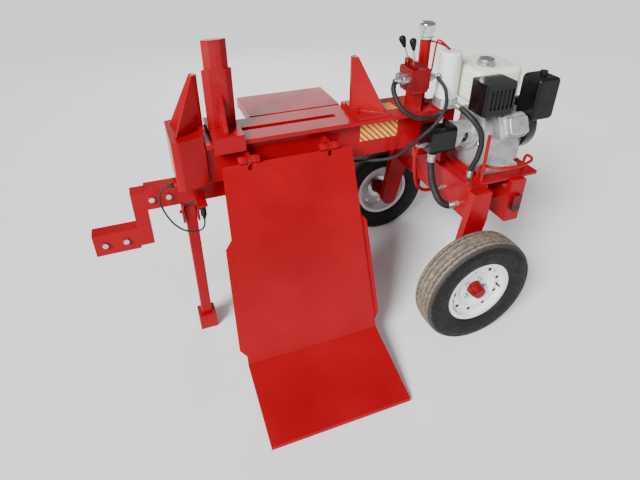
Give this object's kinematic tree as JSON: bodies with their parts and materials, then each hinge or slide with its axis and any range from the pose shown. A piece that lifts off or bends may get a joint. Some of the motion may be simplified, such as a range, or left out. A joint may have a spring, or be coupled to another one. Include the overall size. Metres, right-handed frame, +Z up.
{
  "type": "log splitter",
  "caption": "Towable two-way log splitter: sliding double-edged wedge on a beam between anvils, tilting log lift, engine-driven hydraulics, road wheels and jack leg.",
  "frame": {"origin": "centre of the jack leg's sole, on the ground, in the beam's mid-plane", "axes": "+X along the beam towards the engine, -Y the side with the log lift, +Z up"},
  "size_m": [2.07, 1.3716, 1.436],
  "materials": {
    "red_paint": "glossy enamel",
    "valve_red": "painted casting",
    "zinc_steel": "zinc plated",
    "chrome_rod": "polished",
    "cast_aluminium": "cast",
    "black_steel": "gloss black",
    "black_plastic": "moulded",
    "cream_tank": "satin enamel",
    "white_paint": "gloss white",
    "tyre_rubber": "worn tread",
    "hose_rubber": "ribbed cover"
  },
  "bodies": {
    "frame": {"main_beam": "red_paint", "left_end_block": "red_paint", "left_anvil": "red_paint", "right_anvil": "red_paint", "main_cylinder": "red_paint", "far_table": "red_paint", "lift_brackets": "red_paint", "tongue_lower_bar": "red_paint", "tongue_upper_bar": "red_paint", "frame_bolts": "zinc_steel", "jack_bracket": "red_paint", "hydraulic_tank": "red_paint", "chassis_braces": "red_paint", "rear_cross_box": "red_paint", "marker_lamps": "black_plastic", "wheel_arms": "red_paint", "engine_plate": "red_paint", "crankcase": "cast_aluminium", "cylinder_fins": "cast_aluminium", "head_cover": "cast_aluminium", "muffler": "black_steel", "muffler_guard": "black_steel", "air_cleaner": "black_plastic", "fuel_tank": "cream_tank", "recoil_housing": "black_plastic", "engine_guard": "red_paint", "pump_mount": "cast_aluminium", "pump": "black_steel", "valve_brackets": "red_paint", "valve_body": "valve_red", "filter_head": "cast_aluminium", "filter_canister": "white_paint", "filler_neck": "red_paint", "pressure_hose": "hose_rubber", "suction_hose": "hose_rubber", "return_hose": "hose_rubber", "lift_hose": "hose_rubber", "steel_pipe": "red_paint", "light_cable": "hose_rubber", "cable_plug": "black_plastic"},
    "wedge": {"wedge_carriage": "red_paint", "wedge_blade": "red_paint", "main_rod": "chrome_rod"},
    "lift": {"lift_plate": "red_paint", "lift_ribs": "red_paint"},
    "lift_barrel": {"lift_barrel": "red_paint"},
    "lift_rod": {"lift_rod": "chrome_rod"},
    "near_wheel": {"near_tyre": "tyre_rubber", "near_rim": "white_paint", "near_hub": "red_paint"},
    "far_wheel": {"far_tyre": "tyre_rubber", "far_rim": "white_paint", "far_hub": "red_paint"},
    "lift_lever": {"lift_lever": "black_plastic"},
    "wedge_lever": {"wedge_lever": "black_plastic"},
    "jack": {"jack_leg": "red_paint"},
    "coupling": {"shaft_coupling": "zinc_steel"},
    "fuel_cap": {"fuel_cap": "black_plastic"},
    "breather_cap": {"breather_cap": "zinc_steel"},
    "starter_handle": {"starter_handle": "black_plastic"}
  },
  "joints": [
    {"name": "wedge_slide", "type": "slide", "parent": "frame", "child": "wedge", "axis": [1, 0, 0], "range_m": [0, 0.48]},
    {"name": "lift_hinge", "type": "hinge", "parent": "frame", "child": "lift", "pos_m": [0.428, -0.14, 0.975], "axis": [-1, 0, 0], "range_deg": [0, 71]},
    {"name": "lift_barrel_pivot", "type": "hinge", "parent": "frame", "child": "lift_barrel", "pos_m": [0.48, 0.15, 0.72], "axis": [-1, 0, 0], "range_deg": [0, 5]},
    {"name": "lift_rod_slide", "type": "slide", "parent": "lift_barrel", "child": "lift_rod", "axis": [0, -0.9381, 0.3464], "range_m": [0, 0.178]},
    {"name": "near_wheel_spin", "type": "hinge", "parent": "frame", "child": "near_wheel", "pos_m": [1.22, -0.505, 0.285], "axis": [0, 1, 0], "continuous": true},
    {"name": "far_wheel_spin", "type": "hinge", "parent": "frame", "child": "far_wheel", "pos_m": [1.22, 0.505, 0.285], "axis": [0, 1, 0], "continuous": true},
    {"name": "lift_lever_tilt", "type": "hinge", "parent": "frame", "child": "lift_lever", "pos_m": [1.016, -0.062, 1.282], "axis": [0, 1, 0], "range_deg": [-15, 15], "stiffness_Nm_per_rad": 2},
    {"name": "wedge_lever_tilt", "type": "hinge", "parent": "frame", "child": "wedge_lever", "pos_m": [1.016, -0.114, 1.282], "axis": [0, 1, 0], "range_deg": [-15, 15], "stiffness_Nm_per_rad": 2},
    {"name": "jack_fold", "type": "hinge", "parent": "frame", "child": "jack", "pos_m": [0, 0, 0.7], "axis": [1, 0, 0], "range_deg": [0, 90]},
    {"name": "coupling_spin", "type": "hinge", "parent": "frame", "child": "coupling", "pos_m": [1.26, -0.16, 0.935], "axis": [1, 0, 0], "continuous": true},
    {"name": "fuel_cap_turn", "type": "hinge", "parent": "frame", "child": "fuel_cap", "pos_m": [1.36, -0.15, 1.26], "axis": [0, 0, 1], "range_deg": [0, 90]},
    {"name": "breather_cap_turn", "type": "hinge", "parent": "frame", "child": "breather_cap", "pos_m": [1.136, 0.008, 1.38], "axis": [0, 0, 1], "range_deg": [0, 90]},
    {"name": "starter_pull", "type": "slide", "parent": "frame", "child": "starter_handle", "axis": [1, 0, 0], "range_m": [0, 0.25], "stiffness_N_per_m": 30}
  ],
  "couplings": [
    {"joint": "lift_barrel_pivot", "follows": "lift_hinge", "ratio": 0.05841},
    {"joint": "lift_rod_slide", "follows": "lift_hinge", "m_per_rad": 0.14107}
  ]
}
